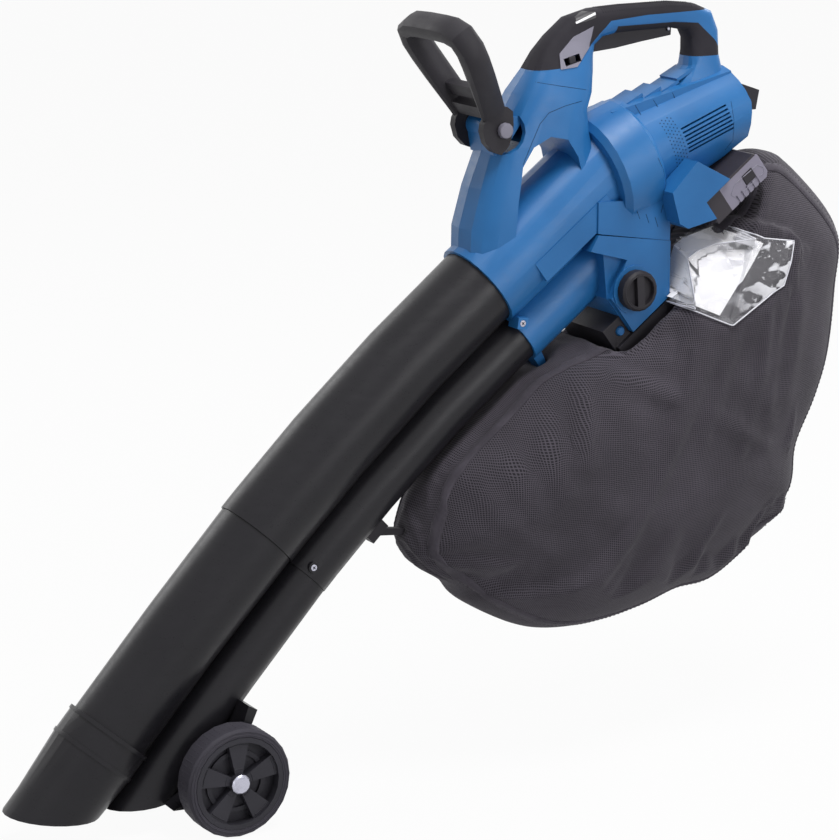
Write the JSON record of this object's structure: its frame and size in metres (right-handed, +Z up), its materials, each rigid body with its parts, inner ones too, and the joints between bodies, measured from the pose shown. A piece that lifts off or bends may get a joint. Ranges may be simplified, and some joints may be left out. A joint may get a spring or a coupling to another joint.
{
  "type": "walk behind leaf blower",
  "caption": "Cordless leaf blower and vacuum on wheels: double tube with slanted nozzle, blue motor housing with loop grip, tilting front handle, slide-on packs and a mesh bag.",
  "frame": {"origin": "on the ground, under the wheel axle and midway between the wheels", "axes": "-X to the front (the nozzle), +X to the rear (grip and bag), -Y to the side with the knob, +Z up"},
  "size_m": [1.15, 0.2366, 0.9285],
  "materials": {
    "blue_shell": "satin moulded plastic",
    "black_tube": "satin moulded plastic",
    "black_plastic": "fine grained",
    "soft_grip": "soft moulded grip",
    "tyre_rubber": "matte",
    "wheel_plastic": "fine grained",
    "bright_steel": "plain",
    "pack_plastic": "fine grained",
    "mesh_fabric": "open dark mesh",
    "clear_film": "clear and creased",
    "paper_card": "plain white card",
    "motor_steel": "rolled",
    "circuit_board": "plain",
    "fan_plastic": "plain",
    "white_lens": "plain"
  },
  "bodies": {
    "machine": {"tube_upper": "black_tube", "tube_lower": "black_tube", "suction_nozzle": "black_tube", "wheel_axle": "bright_steel", "axle_cap_left": "bright_steel", "axle_cap_right": "bright_steel", "housing_left": "blue_shell", "housing_right": "blue_shell", "outlet_left": "blue_shell", "outlet_right": "blue_shell", "grip_cover": "soft_grip", "grip_pad": "soft_grip", "trigger_pin": "bright_steel", "trigger_switch": "black_plastic", "bail_bolt": "bright_steel", "bag_collar": "black_plastic", "collection_bag": "mesh_fabric", "bag_hanger": "black_plastic", "bag_front_clip": "black_plastic", "document_pouch": "clear_film", "pouch_card": "paper_card", "bail_cap_left": "pack_plastic", "bail_cap_right": "pack_plastic", "battery_dock_left": "blue_shell", "battery_dock_right": "blue_shell", "dock_contact_left": "black_plastic", "dock_contact_right": "black_plastic", "collar_screw_left": "bright_steel", "collar_screw_right": "bright_steel", "motor_plate": "motor_steel", "bearing_front": "bright_steel", "motor_can": "motor_steel", "bearing_rear": "bright_steel", "control_board": "circuit_board", "tube_screw_left": "bright_steel", "tube_screw_right": "bright_steel", "head_panel": "pack_plastic", "light_strip": "white_lens", "housing_screw_1": "bright_steel", "housing_screw_2": "bright_steel", "housing_screw_3": "bright_steel", "housing_screw_4": "bright_steel", "housing_screw_5": "bright_steel"},
    "wheel_left": {"wheel_hub_left": "wheel_plastic", "wheel_tyre_left": "tyre_rubber"},
    "wheel_right": {"wheel_hub_right": "wheel_plastic", "wheel_tyre_right": "tyre_rubber"},
    "fan": {"impeller": "fan_plastic", "motor_shaft": "bright_steel"},
    "bail": {"bail_handle": "black_plastic"},
    "trigger_lever": {"trigger": "black_plastic"},
    "slider": {"speed_slider": "black_plastic"},
    "selector": {"selector_knob": "black_plastic", "selector_flap": "black_plastic"},
    "pack_left": {"battery_pack_left": "pack_plastic"},
    "pack_right": {"battery_pack_right": "pack_plastic"},
    "release_left": {"pack_release_left": "black_plastic"},
    "release_right": {"pack_release_right": "black_plastic"},
    "latch": {"bag_latch_button": "blue_shell"}
  },
  "joints": [
    {"name": "wheel_left_spin", "type": "hinge", "parent": "machine", "child": "wheel_left", "pos_m": [0, -0.075, 0.066], "axis": [0, 1, 0], "continuous": true},
    {"name": "wheel_right_spin", "type": "hinge", "parent": "machine", "child": "wheel_right", "pos_m": [0, 0.075, 0.066], "axis": [0, 1, 0], "continuous": true},
    {"name": "fan_spin", "type": "hinge", "parent": "machine", "child": "fan", "pos_m": [0.53273, 0, 0.71936], "axis": [0.9426, 0, 0.3338], "continuous": true},
    {"name": "bail_tilt", "type": "hinge", "parent": "machine", "child": "bail", "pos_m": [0.38496, 0, 0.79083], "axis": [0, 1, 0], "range_deg": [-45, 35]},
    {"name": "trigger_press", "type": "hinge", "parent": "machine", "child": "trigger_lever", "pos_m": [0.6359, 0, 0.89304], "axis": [0, 1, 0], "range_deg": [0, 4.4], "stiffness_Nm_per_rad": 3, "springref_deg": -2.86},
    {"name": "speed_slide", "type": "slide", "parent": "machine", "child": "slider", "axis": [0.9769, 0, 0.2136], "range_m": [-0.006, 0.006]},
    {"name": "selector_turn", "type": "hinge", "parent": "machine", "child": "selector", "pos_m": [0.55694, 0, 0.58702], "axis": [0, -1, 0], "range_deg": [0, 76]},
    {"name": "pack_left_slide", "type": "slide", "parent": "machine", "child": "pack_left", "axis": [0.7986, 0, 0.6018], "range_m": [0, 0.048]},
    {"name": "pack_right_slide", "type": "slide", "parent": "machine", "child": "pack_right", "axis": [0.7986, 0, 0.6018], "range_m": [0, 0.048]},
    {"name": "release_left_press", "type": "slide", "parent": "pack_left", "child": "release_left", "axis": [0, 1, 0], "range_m": [0, 0.002], "stiffness_N_per_m": 600, "springref_m": -0.001},
    {"name": "release_right_press", "type": "slide", "parent": "pack_right", "child": "release_right", "axis": [0, -1, 0], "range_m": [0, 0.002], "stiffness_N_per_m": 600, "springref_m": -0.001},
    {"name": "latch_press", "type": "slide", "parent": "machine", "child": "latch", "axis": [0, 1, 0], "range_m": [0, 0.003], "stiffness_N_per_m": 800, "springref_m": -0.001}
  ]
}
